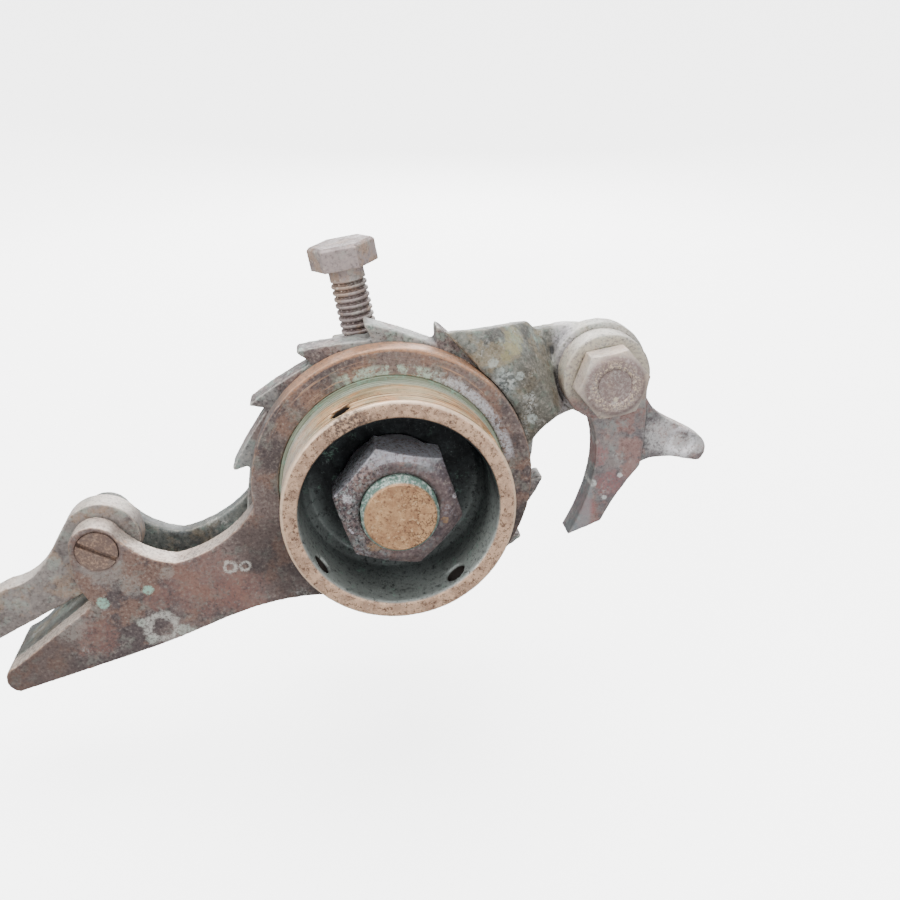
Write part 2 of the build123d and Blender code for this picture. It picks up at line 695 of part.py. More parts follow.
# ================================================================ labels and files
mounting_plate.part.label = "mounting_plate"
spring_cover.part.label = "spring_cover"
cover_screws.part.label = "cover_screws"
spindle.part.label = "spindle"
spindle_dowel.part.label = "spindle_dowel"
spindle_nut.part.label = "spindle_nut"
nut_washer.part.label = "nut_washer"
tension_cup.part.label = "tension_cup"
ratchet_wheel.part.label = "ratchet_wheel"
cup_dowels.part.label = "cup_dowels"
bearing_sleeve.part.label = "bearing_sleeve"
torsion_spring.part.label = "torsion_spring"
arm_front_cheek.part.label = "arm_front_cheek"
arm_rear_casting.part.label = "arm_rear_casting"
front_bush.part.label = "front_bush"
rear_bush.part.label = "rear_bush"
pivot_bush.part.label = "pivot_bush"
pivot_screw.part.label = "pivot_screw"
pawl_bush.part.label = "pawl_bush"
pawl_bolt.part.label = "pawl_bolt"
cheek_screws.part.label = "cheek_screws"
pawl.part.label = "pawl"
link.part.label = "link"
link_end_bush.part.label = "link_end_bush"
set_bolt.part.label = "set_bolt"

os.makedirs("parts", exist_ok=True)
export_step(mounting_plate.part, "parts/mounting_plate.step")
export_step(spring_cover.part, "parts/spring_cover.step")
export_step(cover_screws.part, "parts/cover_screws.step")
export_step(spindle.part, "parts/spindle.step")
export_step(spindle_dowel.part, "parts/spindle_dowel.step")
export_step(spindle_nut.part, "parts/spindle_nut.step")
export_step(nut_washer.part, "parts/nut_washer.step")
export_step(tension_cup.part, "parts/tension_cup.step")
export_step(ratchet_wheel.part, "parts/ratchet_wheel.step")
export_step(cup_dowels.part, "parts/cup_dowels.step")
export_step(bearing_sleeve.part, "parts/bearing_sleeve.step")
export_step(torsion_spring.part, "parts/torsion_spring.step")
export_step(arm_front_cheek.part, "parts/arm_front_cheek.step")
export_step(arm_rear_casting.part, "parts/arm_rear_casting.step")
export_step(front_bush.part, "parts/front_bush.step")
export_step(rear_bush.part, "parts/rear_bush.step")
export_step(pivot_bush.part, "parts/pivot_bush.step")
export_step(pivot_screw.part, "parts/pivot_screw.step")
export_step(pawl_bush.part, "parts/pawl_bush.step")
export_step(pawl_bolt.part, "parts/pawl_bolt.step")
export_step(cheek_screws.part, "parts/cheek_screws.step")
export_step(pawl.part, "parts/pawl.step")
export_step(link.part, "parts/link.step")
export_step(link_end_bush.part, "parts/link_end_bush.step")
export_step(set_bolt.part, "parts/set_bolt.step")
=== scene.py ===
"""Looks for the door closer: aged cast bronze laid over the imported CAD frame.

Units are metres in the frame of the CAD: Y is the spindle's axis, -Y faces the viewer
and Z is up. The castings, the stud's nut and the two hexagon bolts are shown as
remeshed copies of their CAD nodes, with softened edges and an uneven skin. Each copy
stands for its node and rides on the node's body. The other nodes keep their CAD mesh.
"""
import json
from math import cos, pi, sin

import bpy
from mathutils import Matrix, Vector


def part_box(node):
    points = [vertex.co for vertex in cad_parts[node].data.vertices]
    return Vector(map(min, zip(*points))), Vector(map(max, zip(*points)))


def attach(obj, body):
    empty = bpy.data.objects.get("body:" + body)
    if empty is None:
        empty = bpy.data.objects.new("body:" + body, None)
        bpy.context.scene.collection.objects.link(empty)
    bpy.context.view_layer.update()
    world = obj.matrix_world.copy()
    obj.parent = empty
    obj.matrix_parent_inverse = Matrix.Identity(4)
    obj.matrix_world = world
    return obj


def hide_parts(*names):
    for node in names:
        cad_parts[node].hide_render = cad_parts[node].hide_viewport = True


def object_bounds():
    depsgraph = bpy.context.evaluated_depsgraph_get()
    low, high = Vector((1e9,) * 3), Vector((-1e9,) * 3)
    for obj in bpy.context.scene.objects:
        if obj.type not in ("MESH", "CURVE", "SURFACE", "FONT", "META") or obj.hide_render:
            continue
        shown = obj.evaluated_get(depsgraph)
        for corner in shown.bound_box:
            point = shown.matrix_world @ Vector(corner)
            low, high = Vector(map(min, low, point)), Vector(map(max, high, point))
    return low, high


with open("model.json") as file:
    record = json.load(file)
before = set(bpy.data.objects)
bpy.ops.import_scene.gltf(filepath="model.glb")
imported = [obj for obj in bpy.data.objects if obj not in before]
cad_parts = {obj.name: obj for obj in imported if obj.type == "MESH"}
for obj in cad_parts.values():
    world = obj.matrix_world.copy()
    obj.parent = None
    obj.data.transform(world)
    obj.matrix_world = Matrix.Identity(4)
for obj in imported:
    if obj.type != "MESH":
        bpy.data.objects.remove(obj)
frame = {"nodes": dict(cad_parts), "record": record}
cad_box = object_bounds()

MM = 0.001

# ---------------------------------------------------------------- places on the object
rim_low, rim_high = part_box("tension_cup")
stud_low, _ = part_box("spindle")
eye_low, eye_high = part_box("pivot_screw")
bolt_low, bolt_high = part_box("pawl_bolt")
cheek_low, cheek_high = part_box("arm_front_cheek")

RIM_Y = rim_low.y
CUP_R = rim_high.x
STUD_END_Y = stud_low.y
CHEEK_FRONT_Y = cheek_low.y
FLANGE_R = cheek_high.x
BOLT_AXIS = ((bolt_low.x + bolt_high.x) / 2, (bolt_low.z + bolt_high.z) / 2)
EYE_AXIS = ((eye_low.x + eye_high.x) / 2, (eye_low.z + eye_high.z) / 2)
SPINDLE_AXIS = (0.0, 0.0)


# ---------------------------------------------------------------- material building
# Places of the colour sockets on a Mix node, whose other types have sockets of the same name.
MIX_FROM = 6
MIX_TO = 7
MIX_RESULT = 2
NEAR_AXIS = 0.01 * MM
RAGGED_GRAIN = 0.8
RAGGED_REACH = 2.6


def tone(red, green, blue):
    """A linear colour from its 0-255 screen values."""
    values = []
    for value in (red, green, blue):
        value = value / 255
        values.append(value / 12.92 if value <= 0.04045 else ((value + 0.055) / 1.055) ** 2.4)
    return (*values, 1.0)


class Recipe:
    """A material under construction. Its methods add nodes and return their outputs."""

    def __init__(self, name, metallic):
        self.material = bpy.data.materials.new(name)
        self.material.use_nodes = True
        self.tree = self.material.node_tree
        self.shader = self.tree.nodes["Principled BSDF"]
        self.shader.inputs["Metallic"].default_value = metallic
        self.place = self.tree.nodes.new("ShaderNodeTexCoord").outputs["Object"]
        split = self.node("ShaderNodeSeparateXYZ", Vector=self.place)
        self.x, self.y, self.z = split.outputs
        self.grain = None

    def node(self, kind, **inputs):
        """A new node with values or other nodes' outputs fed to its inputs, by name."""
        made = self.tree.nodes.new(kind)
        for key, value in inputs.items():
            self.feed(made.inputs[key], value)
        return made

    def feed(self, socket, value):
        """Links value to the socket if it is another node's output, and else sets it there."""
        if isinstance(value, bpy.types.NodeSocket):
            self.tree.links.new(value, socket)
        else:
            socket.default_value = value

    def math(self, operation, a, b=0.0):
        """The result of a Math node."""
        made = self.tree.nodes.new("ShaderNodeMath")
        made.operation = operation
        self.feed(made.inputs[0], a)
        self.feed(made.inputs[1], b)
        return made.outputs[0]

    def times(self, first, *others):
        """The product of all the values."""
        product = first
        for other in others:
            product = self.math("MULTIPLY", product, other)
        return product

    def without(self, share):
        """What a share leaves of 1."""
        return self.math("SUBTRACT", 1.0, share)

    def distance(self, value, place):
        """How far value is from place, on either side."""
        return self.math("ABSOLUTE", self.math("SUBTRACT", value, place))

    def span(self, value, low, high, first=0.0, last=1.0):
        """first where value is at low, last where it is at high, and a smooth step between."""
        made = self.tree.nodes.new("ShaderNodeMapRange")
        made.interpolation_type = "SMOOTHSTEP"
        keys = ("Value", "From Min", "From Max", "To Min", "To Max")
        for key, number in zip(keys, (value, low, high, first, last)):
            self.feed(made.inputs[key], number)
        return made.outputs[0]

    def mix(self, share, a, b):
        """Colour a where share is 0 and colour b where it is 1."""
        made = self.tree.nodes.new("ShaderNodeMix")
        made.data_type = "RGBA"
        self.feed(made.inputs[0], share)
        self.feed(made.inputs[MIX_FROM], a)
        self.feed(made.inputs[MIX_TO], b)
        return made.outputs[MIX_RESULT]

    def noise_at(self, place, scale, detail, rough, seed):
        """Noise from 0 to 1 at a place. The seed is its fourth coordinate."""
        made = self.node("ShaderNodeTexNoise", Vector=place, Scale=scale, Detail=detail)
        made.noise_dimensions = "4D"
        made.inputs["W"].default_value = seed
        made.inputs["Roughness"].default_value = rough
        return made.outputs[0]

    def noise(self, size, seed, detail=6, rough=0.7):
        """Noise from 0 to 1 whose blotches are about size across, in millimetres."""
        return self.noise_at(self.place, 1.0 / (size * MM), detail, rough, seed)

    def patches(self, size, seed, low, high, first=0.0, last=1.0, detail=6, rough=0.7):
        """That noise as a mask: first where it is at low, last where it is at high."""
        return self.span(self.noise(size, seed, detail, rough), low, high, first, last)

    def turned(self, axis, around, across, seed, detail=5, rough=0.65):
        """Noise drawn out round an axis, with one scale round it and one across the marks."""
        return self.noise_at(self.ring_place(axis, around, across), 1.0, detail, rough, seed)

    def cells(self, size):
        """Distance to the nearest of scattered points, in units of their spacing, size mm."""
        made = self.node("ShaderNodeTexVoronoi", Vector=self.place, Scale=1.0 / (size * MM))
        return made.outputs["Distance"]

    def radius(self, axis):
        """Distance from an axis that runs along Y through axis = (x, z)."""
        dx = self.math("SUBTRACT", self.x, axis[0])
        dz = self.math("SUBTRACT", self.z, axis[1])
        return self.math("SQRT", self.math("ADD", self.times(dx, dx), self.times(dz, dz)))

    def ring_place(self, axis, around, across):
        """Coordinates that change slowly round an axis and fast along it and away from it."""
        r = self.math("MAXIMUM", self.radius(axis), NEAR_AXIS)
        ux = self.math("DIVIDE", self.math("SUBTRACT", self.x, axis[0]), r)
        uz = self.math("DIVIDE", self.math("SUBTRACT", self.z, axis[1]), r)
        depth = self.times(self.math("ADD", r, self.y), across)
        turn_x = self.times(ux, around)
        turn_z = self.times(uz, around)
        return self.node("ShaderNodeCombineXYZ", X=turn_x, Y=depth, Z=turn_z).outputs[0]

    def facing_up(self, low=0.55, high=0.9):
        """1 on skin that faces upward and 0 on the rest, from the direction of the surface."""
        coordinates = self.tree.nodes.new("ShaderNodeTexCoord")
        split = self.node("ShaderNodeSeparateXYZ", Vector=coordinates.outputs["Normal"])
        return self.span(split.outputs["Z"], low, high)

    def pointiness(self):
        """Above 0.5 on raised edges and below it in hollows."""
        return self.tree.nodes.new("ShaderNodeNewGeometry").outputs["Pointiness"]

    def spot(self, centre, size, softness=0.5, wobble=0.0, seed=0.0):
        """1 inside a blotch round centre = (x, z), whatever the depth, and 0 outside it.

        size is its radius in metres. wobble is how ragged its edge is.
        """
        r = self.radius(centre)
        if wobble:
            scale = 1.0 / (size * RAGGED_GRAIN)
            grain = self.noise_at(self.place, scale, detail=7, rough=0.78, seed=seed)
            ripple = self.math("SUBTRACT", grain, 0.5)
            r = self.math("ADD", r, self.times(ripple, RAGGED_REACH * wobble * size))
        return self.span(r, size * (1 + softness), size * (1 - softness))

    def broken(self, amount):
        """Share of a thin deposit or of painted light: amount where it is whole, less where the
        grain shows.
        """
        if self.grain is None:
            self.grain = self.noise(0.6, seed=29, detail=5, rough=0.75)
        least = 0.15 * amount
        return self.span(self.grain, 0.38, 0.54, least, amount)

    def finish(self, colour, roughness, height, relief):
        """Feeds the shader. relief is the bump's depth in millimetres."""
        self.feed(self.shader.inputs["Base Color"], colour)
        self.feed(self.shader.inputs["Roughness"], roughness)
        bump = self.node("ShaderNodeBump", Height=height)
        bump.inputs["Strength"].default_value = 1.0
        bump.inputs["Distance"].default_value = relief * MM
        self.feed(self.shader.inputs["Normal"], bump.outputs[0])
        return self.material


def painted_top_light(r, colour, shade, amount, low=0.5, high=0.85):
    """Painted highlight: paler colour on skin that faces upward, as if lit from above, broken up
    by the grain.
    """
    return r.mix(r.times(r.facing_up(low, high), r.broken(amount)), colour, shade)


def mottled(r, seed, base, dark, warm, green):
    """Broad patina: four tones of bronze run into each other in blotches of three sizes."""
    broad = r.patches(14, seed, 0.44, 0.56, rough=0.6)
    middle = r.patches(7, seed + 3, 0.49, 0.58, rough=0.65)
    small = r.patches(4, seed + 7, 0.52, 0.62, detail=7)
    colour = r.mix(broad, base, dark)
    colour = r.mix(r.times(middle, 0.8), colour, warm)
    return r.mix(r.times(small, 0.7), colour, green)


def grained(r, colour, seed, amount):
    """Fine light and dark grain, as of a sand-cast skin."""
    grain = r.noise(0.7, seed, detail=5)
    darker = r.span(grain, 0.50, 0.36, 0.0, 1.35 * amount)
    lighter = r.span(grain, 0.52, 0.66, 0.0, 0.9 * amount)
    colour = r.mix(darker, colour, tone(30, 24, 22))
    return r.mix(lighter, colour, tone(205, 196, 184))


def worn(r, colour, bright, grime, low=0.515, high=0.57, share=0.8):
    """Rubbed metal on raised edges and grime in the hollows, broken up by noise."""
    point = r.pointiness()
    patchy = r.patches(2.5, 31, 0.35, 0.60, 0.35, 1.0, detail=5, rough=0.55)
    edge = r.times(r.span(point, low, high), patchy)
    hollow = r.span(point, 0.492, 0.46)
    colour = r.mix(r.times(hollow, 0.85), colour, grime)
    return r.mix(r.times(edge, share), colour, bright)


def dusted(r, colour, powder, seed, amount, low=0.60, high=0.72, size=5.0):
    """Powdery mineral deposits: fine speckle in patches about size mm across."""
    gathered = r.patches(size, seed, low - 0.06, high, detail=4, rough=0.6)
    speckle = r.patches(0.6, seed + 5, 0.44, 0.60, detail=4)
    return r.mix(r.times(gathered, speckle, amount), colour, powder)


def skin_height(r, seed, ring=None):
    """Height for bump: soft casting waves and fine pits, with turning marks if ring is given."""
    waves = r.noise(3.0, seed + 11, detail=5, rough=0.6)
    fine = r.noise(0.5, seed + 13, detail=4)
    pits = r.span(r.cells(1.1), 0.05, 0.30)
    height = r.math("ADD", r.times(waves, 0.5), r.times(fine, 0.35))
    height = r.math("ADD", height, r.times(pits, 0.15))
    if ring is not None:
        height = r.math("ADD", height, r.times(ring, 0.35))
    return height


def skin_roughness(r, seed, low=0.38, high=0.68):
    """Gloss that varies in small blotches."""
    return r.patches(2.2, seed + 17, 0.3, 0.7, low, high)


def marked(r, colour, shade, marks, amount):
    """Blotches of one shade at (x, z, size) in millimetres, ragged at the edges."""
    for number, (x, z, size) in enumerate(marks):
        centre = (x * MM, z * MM)
        share = r.spot(centre, size * MM, softness=0.22, wobble=1.0, seed=300 + number)
        colour = r.mix(r.times(share, r.broken(amount)), colour, shade)
    return colour


def ringed(r, colour, shade, rings, amount):
    """Dried drops at (x, z, size) in millimetres: a pale rim round an unmarked middle."""
    for number, (x, z, size) in enumerate(rings):
        centre = (x * MM, z * MM)
        outer = r.spot(centre, size * MM, softness=0.16, wobble=0.6, seed=340 + number)
        inner = r.spot(centre, 0.62 * size * MM, softness=0.2, wobble=0.8, seed=344 + number)
        share = r.times(outer, r.without(inner), r.broken(amount))
        colour = r.mix(share, colour, shade)
    return colour


POWDER_WHITE = tone(214, 216, 212)
POWDER_GREEN = tone(150, 190, 172)
GRIME = tone(32, 30, 31)
RIM_WALL = 3.2 * MM


def cup_wall(r, turning):
    """The cup's outer wall: lathe marks on ochre bronze, with a green foot and a painted highlight
    on its left side.
    """
    bands = r.turned(SPINDLE_AXIS, around=0.7, across=420, seed=5, detail=3, rough=0.5)
    colour = r.mix(r.span(bands, 0.35, 0.65), tone(182, 150, 108), tone(150, 134, 102))
    gold = r.patches(5, 7, 0.46, 0.58, 0.0, 0.8, detail=5, rough=0.6)
    colour = r.mix(gold, colour, tone(200, 144, 94))
    colour = r.mix(r.span(turning, 0.51, 0.60, 0.0, 0.7), colour, tone(228, 208, 172))
    colour = r.mix(r.span(turning, 0.50, 0.42, 0.0, 0.9), colour, tone(92, 72, 54))
    spots = r.patches(0.9, 8, 0.45, 0.36, 0.0, 0.7, rough=0.75)
    colour = r.mix(spots, colour, tone(80, 66, 54))
    foot = r.span(r.y, CHEEK_FRONT_Y - 4.5 * MM, CHEEK_FRONT_Y - 2.5 * MM, 0.0, 0.8)
    colour = r.mix(foot, colour, tone(186, 198, 180))
    dark_lines = (1.5 * MM, 2.7 * MM)
    for ahead_of_cheek in dark_lines:
        off_line = r.distance(r.y, CHEEK_FRONT_Y - ahead_of_cheek)
        line = r.span(off_line, 0.22 * MM, 0.10 * MM)
        colour = r.mix(r.times(line, 0.8), colour, tone(38, 46, 40))
    # Painted highlight: the wall's left side is made paler, as if lit from there.
    lit_left_flank = r.span(r.x, -14 * MM, -20 * MM, 0.0, 0.5)
    return r.mix(r.times(lit_left_flank, r.broken(0.9)), colour, tone(236, 232, 224))


def cup_face(r, radius):
    """The cup's flat rim: pitted tan bronze with a rubbed outer edge."""
    blotches = r.patches(3, 9, 0.44, 0.58, rough=0.65)
    colour = r.mix(blotches, tone(222, 184, 154), tone(188, 154, 130))
    pits = r.patches(0.8, 12, 0.50, 0.41, 0.0, 0.9, detail=7, rough=0.8)
    colour = r.mix(pits, colour, tone(96, 72, 60))
    sparkle = r.patches(0.5, 14, 0.56, 0.70, 0.0, 0.6, detail=3, rough=0.55)
    colour = r.mix(sparkle, colour, tone(240, 214, 188))
    outer_edge = r.span(radius, CUP_R - 0.7 * MM, CUP_R - 0.4 * MM, 0.0, 0.7)
    colour = r.mix(outer_edge, colour, tone(244, 216, 188))
    stain = r.spot((-9 * MM, 18.5 * MM), 5 * MM, softness=0.4, wobble=0.6, seed=15)
    speckle = r.patches(0.6, 16, 0.42, 0.58, detail=5)
    return r.mix(r.times(stain, 0.9, speckle), colour, tone(92, 78, 72))


def cup_inside(r, radius):
    """The cup's inside: painted near-black shade, with painted light making it grey low down and
    at the sides.
    """
    # Painted shade: near-black base colour of the inside.
    colour = r.mix(r.patches(4, 18, 0.42, 0.66), tone(22, 25, 28), tone(50, 56, 58))
    # Painted light: grey on the lower inner wall at the sides, as if lit from above.
    sides = r.span(r.math("ABSOLUTE", r.x), 8 * MM, 18 * MM, 0.4, 0.8)
    sides = r.times(sides, r.span(radius, 14 * MM, 20 * MM, 0.1, 1.0))
    lower = r.span(r.z, 6 * MM, -8 * MM)
    colour = r.mix(r.times(lower, sides), colour, tone(160, 168, 166))
    # More painted light low down, near the rim.
    low_side = r.span(r.z, 10 * MM, -14 * MM)
    near_rim = r.span(r.y, CHEEK_FRONT_Y - 1 * MM, RIM_Y + 3 * MM)
    low_painted_light = r.times(low_side, near_rim, r.times(sides, 0.9))
    colour = r.mix(low_painted_light, colour, tone(176, 182, 176))
    colour = marked(r, colour, tone(150, 206, 180), [(13.3, -19.0, 2.0)], amount=0.6)
    colour = dusted(r, colour, POWDER_GREEN, seed=23, amount=0.5, size=3.0)
    black = r.patches(0.9, 24, 0.50, 0.36, 0.0, 0.8, rough=0.8)
    colour = r.mix(black, colour, tone(14, 16, 18))
    grey = r.patches(0.8, 25, 0.56, 0.68, 0.0, 0.45, rough=0.8)
    return r.mix(grey, colour, tone(150, 160, 160))


def cup_bronze():
    r = Recipe("cup_bronze", metallic=0.45)
    radius = r.radius(SPINDLE_AXIS)
    turning = r.turned(SPINDLE_AXIS, around=1.2, across=1600, seed=2)
    is_face = r.span(r.y, RIM_Y + 0.9 * MM, RIM_Y + 0.45 * MM)
    is_inside = r.span(radius, CUP_R - RIM_WALL, CUP_R - RIM_WALL - 0.4 * MM)
    # Painted shade: skin within the wall's thickness, such as the holes through it, is darkened.
    hole_shade = r.times(r.span(radius, CUP_R - 0.5 * MM, CUP_R - 0.9 * MM), r.without(is_face))
    colour = r.mix(is_face, cup_wall(r, turning), cup_face(r, radius))
    bright, dull = tone(226, 188, 150), tone(52, 44, 38)
    colour = worn(r, colour, bright, dull, low=0.52, high=0.60, share=0.55)
    colour = r.mix(hole_shade, colour, tone(44, 38, 34))
    colour = r.mix(is_inside, colour, cup_inside(r, radius))
    height = skin_height(r, 4, ring=turning)
    return r.finish(colour, skin_roughness(r, 4, 0.34, 0.62), height, relief=0.16)


def wheel_bronze():
    r = Recipe("wheel_bronze", metallic=0.4)
    colour = mottled(
        r,
        seed=40,
        base=tone(150, 150, 148),
        dark=tone(106, 98, 98),
        warm=tone(140, 124, 120),
        green=tone(146, 164, 156),
    )
    colour = grained(r, colour, seed=44, amount=0.45)
    colour = dusted(r, colour, POWDER_GREEN, seed=47, amount=0.5)
    colour = worn(r, colour, tone(206, 202, 192), tone(40, 44, 42))
    return r.finish(colour, skin_roughness(r, 40), skin_height(r, 40), relief=0.18)


def rear_bronze():
    r = Recipe("rear_bronze", metallic=0.35)
    colour = mottled(
        r,
        seed=60,
        base=tone(136, 140, 134),
        dark=tone(92, 92, 88),
        warm=tone(150, 138, 116),
        green=tone(146, 170, 158),
    )
    web_right = r.times(r.span(r.x, 24 * MM, 29 * MM), r.span(r.z, 29 * MM, 24 * MM))
    colour = r.mix(r.times(web_right, 0.7), colour, tone(90, 84, 74))
    # Painted shade: grey-blue on the rear cheek's inner face, between the two cheeks.
    left = r.span(r.x, -30 * MM, -38 * MM)
    shaded_between_cheeks = r.span(r.y, -31.6 * MM, -31.0 * MM)
    colour = r.mix(r.times(left, shaded_between_cheeks, 0.6), colour, tone(84, 96, 104))
    colour = grained(r, colour, seed=64, amount=0.35)

    lichen = [(26.4, 29.5, 2.4), (24.5, 26.8, 1.2)]
    colour = marked(r, colour, tone(176, 170, 124), lichen, amount=0.5)
    white_spots = [
        (27.7, 22.4, 0.9),
        (21.8, 25.6, 1.1),
        (23.4, 23.6, 0.8),
        (30.6, 12.6, 1.1),
        (29.0, 9.5, 0.8),
    ]
    colour = marked(r, colour, tone(214, 226, 222), white_spots, amount=0.5)
    pitted = r.spot((24.4 * MM, 21.0 * MM), 2.4 * MM, softness=0.4, wobble=1.0, seed=69)
    speckle = r.patches(0.9, 70, 0.44, 0.56, detail=5)
    pitting = r.mix(speckle, tone(70, 78, 82), tone(206, 214, 212))
    colour = r.mix(r.times(pitted, 0.6), colour, pitting)

    # Painted light: the boss at the right end is made paler.
    boss = r.span(r.x, 36 * MM, 40 * MM)
    colour = r.mix(r.times(boss, r.broken(0.6)), colour, tone(218, 212, 204))
    # Painted highlight: a pale lilac band down the boss's side.
    highlight_streak = r.times(r.span(r.x, 37 * MM, 39 * MM), r.span(r.x, 43 * MM, 41 * MM))
    colour = r.mix(r.times(highlight_streak, r.broken(0.4)), colour, tone(222, 218, 230))
    # Painted shade: upward-facing skin away from the boss is darkened.
    shaded_top = r.times(r.facing_up(), r.without(boss))
    colour = r.mix(r.times(shaded_top, 0.6), colour, tone(84, 82, 78))
    colour = dusted(r, colour, POWDER_WHITE, seed=67, amount=0.7, size=6.0)
    colour = worn(r, colour, tone(196, 190, 176), tone(38, 40, 42))
    return r.finish(colour, skin_roughness(r, 60), skin_height(r, 60), relief=0.22)


def arm_marks(r, colour):
    """Stains, deposits and dried drops where they lie on the front cheek."""
    red_stains = [(-42, -21, 7.0), (-34, -24, 5.0), (-66, -33, 4.5), (-52, -24, 3.0)]
    pale_stains = [(-57.5, -20.5, 2.6), (-62.5, -16, 4.0), (-49.5, -18.0, 1.6), (-71, -30, 3.2)]
    green_spots = [(-63.7, -24.3, 1.3), (-53.9, -21.8, 1.1)]
    drops = [(-36.1, -17.5, 1.5), (-32.9, -17.5, 1.3), (-51.8, -31.4, 3.8)]
    chalk = [(-56.0, -29.9, 1.0), (-54.4, -34.4, 1.2), (-47.3, -32.4, 1.5), (-45.6, -33.0, 0.9)]
    colour = marked(r, colour, tone(150, 110, 100), red_stains, amount=0.5)
    colour = marked(r, colour, tone(176, 172, 164), pale_stains, amount=0.4)
    colour = marked(r, colour, tone(168, 208, 190), green_spots, amount=0.9)
    colour = ringed(r, colour, tone(222, 220, 212), drops, amount=0.7)
    return marked(r, colour, tone(200, 206, 196), chalk, amount=0.7)


def arm_bronze():
    r = Recipe("arm_bronze", metallic=0.45)
    colour = mottled(
        r,
        seed=80,
        base=tone(128, 112, 108),
        dark=tone(96, 86, 86),
        warm=tone(140, 112, 100),
        green=tone(130, 128, 122),
    )
    colour = grained(r, colour, seed=84, amount=0.34)
    radius = r.radius(SPINDLE_AXIS)
    neck = r.times(r.span(radius, 40 * MM, 34 * MM), r.span(r.z, -4 * MM, -10 * MM))
    colour = r.mix(r.times(neck, 0.5), colour, tone(62, 54, 52))
    far_end = r.span(r.x, -66 * MM, -74 * MM, 0.0, 0.5)
    colour = r.mix(far_end, colour, tone(84, 72, 68))
    colour = arm_marks(r, colour)

    ring = r.turned(SPINDLE_AXIS, around=1.5, across=1500, seed=86, rough=0.7)
    on_flange = r.span(radius, FLANGE_R + 1.0 * MM, FLANGE_R - 0.5 * MM)
    upper = r.span(r.z, 8 * MM, 24 * MM)
    scratch = r.times(r.span(ring, 0.54, 0.66), r.times(on_flange, upper))
    colour = r.mix(r.times(scratch, 0.6), colour, tone(212, 168, 136))
    groove = r.times(r.span(ring, 0.42, 0.30), r.times(on_flange, 0.5))
    colour = r.mix(groove, colour, tone(74, 60, 60))

    band_radius = 25.4 * MM
    beside_cup = r.span(r.distance(radius, band_radius), 1.9 * MM, 0.9 * MM)
    gaps = r.patches(3.2, 89, 0.44, 0.52)
    from_left = r.span(r.x, -13 * MM, -9 * MM)
    from_below = r.span(r.z, 3 * MM, 7 * MM)
    band = r.times(beside_cup, gaps, from_left, from_below, r.broken(0.85))
    right = r.span(r.x, 6 * MM, 14 * MM)
    colour = r.mix(band, colour, r.mix(right, tone(186, 206, 190), tone(206, 206, 214)))

    # Painted highlight: pale on the front cheek's upward-facing skin.
    cheek = r.span(r.x, -22 * MM, -27 * MM)
    lit_cheek_top = r.times(r.facing_up(0.45, 0.8), r.times(cheek, r.broken(0.7)))
    colour = r.mix(lit_cheek_top, colour, tone(220, 206, 192))
    # Painted shade: the flange's upward-facing skin is darkened.
    shaded_flange_top = r.times(r.facing_up(0.45, 0.8), r.without(cheek))
    colour = r.mix(r.times(shaded_flange_top, 0.75), colour, tone(116, 96, 86))
    outer_edge = r.span(radius, FLANGE_R - 1.0 * MM, FLANGE_R - 0.6 * MM)
    rubbed = r.times(outer_edge, r.span(r.z, 17 * MM, 25 * MM))
    colour = r.mix(r.times(rubbed, r.broken(0.6)), colour, tone(206, 152, 112))
    colour = dusted(r, colour, POWDER_WHITE, seed=88, amount=0.55, low=0.64, high=0.76, size=7.0)
    colour = worn(r, colour, tone(206, 168, 140), tone(44, 40, 40), share=0.7)
    screw = r.times(r.span(r.radius(EYE_AXIS), 5.2 * MM, 4.6 * MM), r.broken(0.85))
    colour = r.mix(screw, colour, tone(112, 94, 88))
    height = skin_height(r, 80, ring=scratch)
    return r.finish(colour, skin_roughness(r, 80, 0.34, 0.60), height, relief=0.16)


def pawl_bronze():
    r = Recipe("pawl_bronze", metallic=0.4)
    colour = mottled(
        r,
        seed=100,
        base=tone(150, 140, 138),
        dark=tone(118, 112, 114),
        warm=tone(160, 126, 120),
        green=tone(150, 156, 154),
    )
    colour = grained(r, colour, seed=104, amount=0.28)
    red_stains = [(50.0, -5.0, 3.2), (46.5, 2.0, 2.6), (45.0, -11.0, 2.2)]
    colour = marked(r, colour, tone(166, 112, 112), red_stains, amount=0.6)
    left_side = r.span(r.x, 46.6 * MM, 45.2 * MM)
    below_hub = r.span(r.z, 8 * MM, 4 * MM)
    colour = r.mix(r.times(left_side, r.times(below_hub, 0.4)), colour, tone(160, 178, 186))
    # Painted light: the upper part of the hub is made paler.
    hub_top = r.span(r.z, BOLT_AXIS[1] - 7 * MM, BOLT_AXIS[1] - 2 * MM)
    hub = r.times(r.span(r.radius(BOLT_AXIS), 13 * MM, 11 * MM), hub_top)
    colour = r.mix(r.times(hub, r.broken(0.65)), colour, tone(218, 210, 188))
    tail_bloom = [(62.0, 5.0, 4.0), (70.5, 2.5, 2.2), (66.0, 2.0, 4.0)]
    colour = marked(r, colour, tone(206, 204, 204), tail_bloom, amount=0.8)
    colour = ringed(r, colour, tone(236, 234, 238), [(67.0, 3.6, 3.6)], amount=0.8)
    # Painted highlight: paler on upward-facing skin.
    colour = painted_top_light(r, colour, tone(216, 212, 206), amount=0.5)
    white_spots = [(52.3, -3.3, 0.6), (48.9, -8.6, 0.6), (46.2, -5.0, 0.8)]
    colour = marked(r, colour, tone(230, 234, 230), white_spots, amount=0.75)
    colour = dusted(r, colour, POWDER_WHITE, seed=107, amount=0.5)
    colour = worn(r, colour, tone(204, 194, 188), tone(56, 52, 54))
    return r.finish(colour, skin_roughness(r, 100), skin_height(r, 100), relief=0.2)


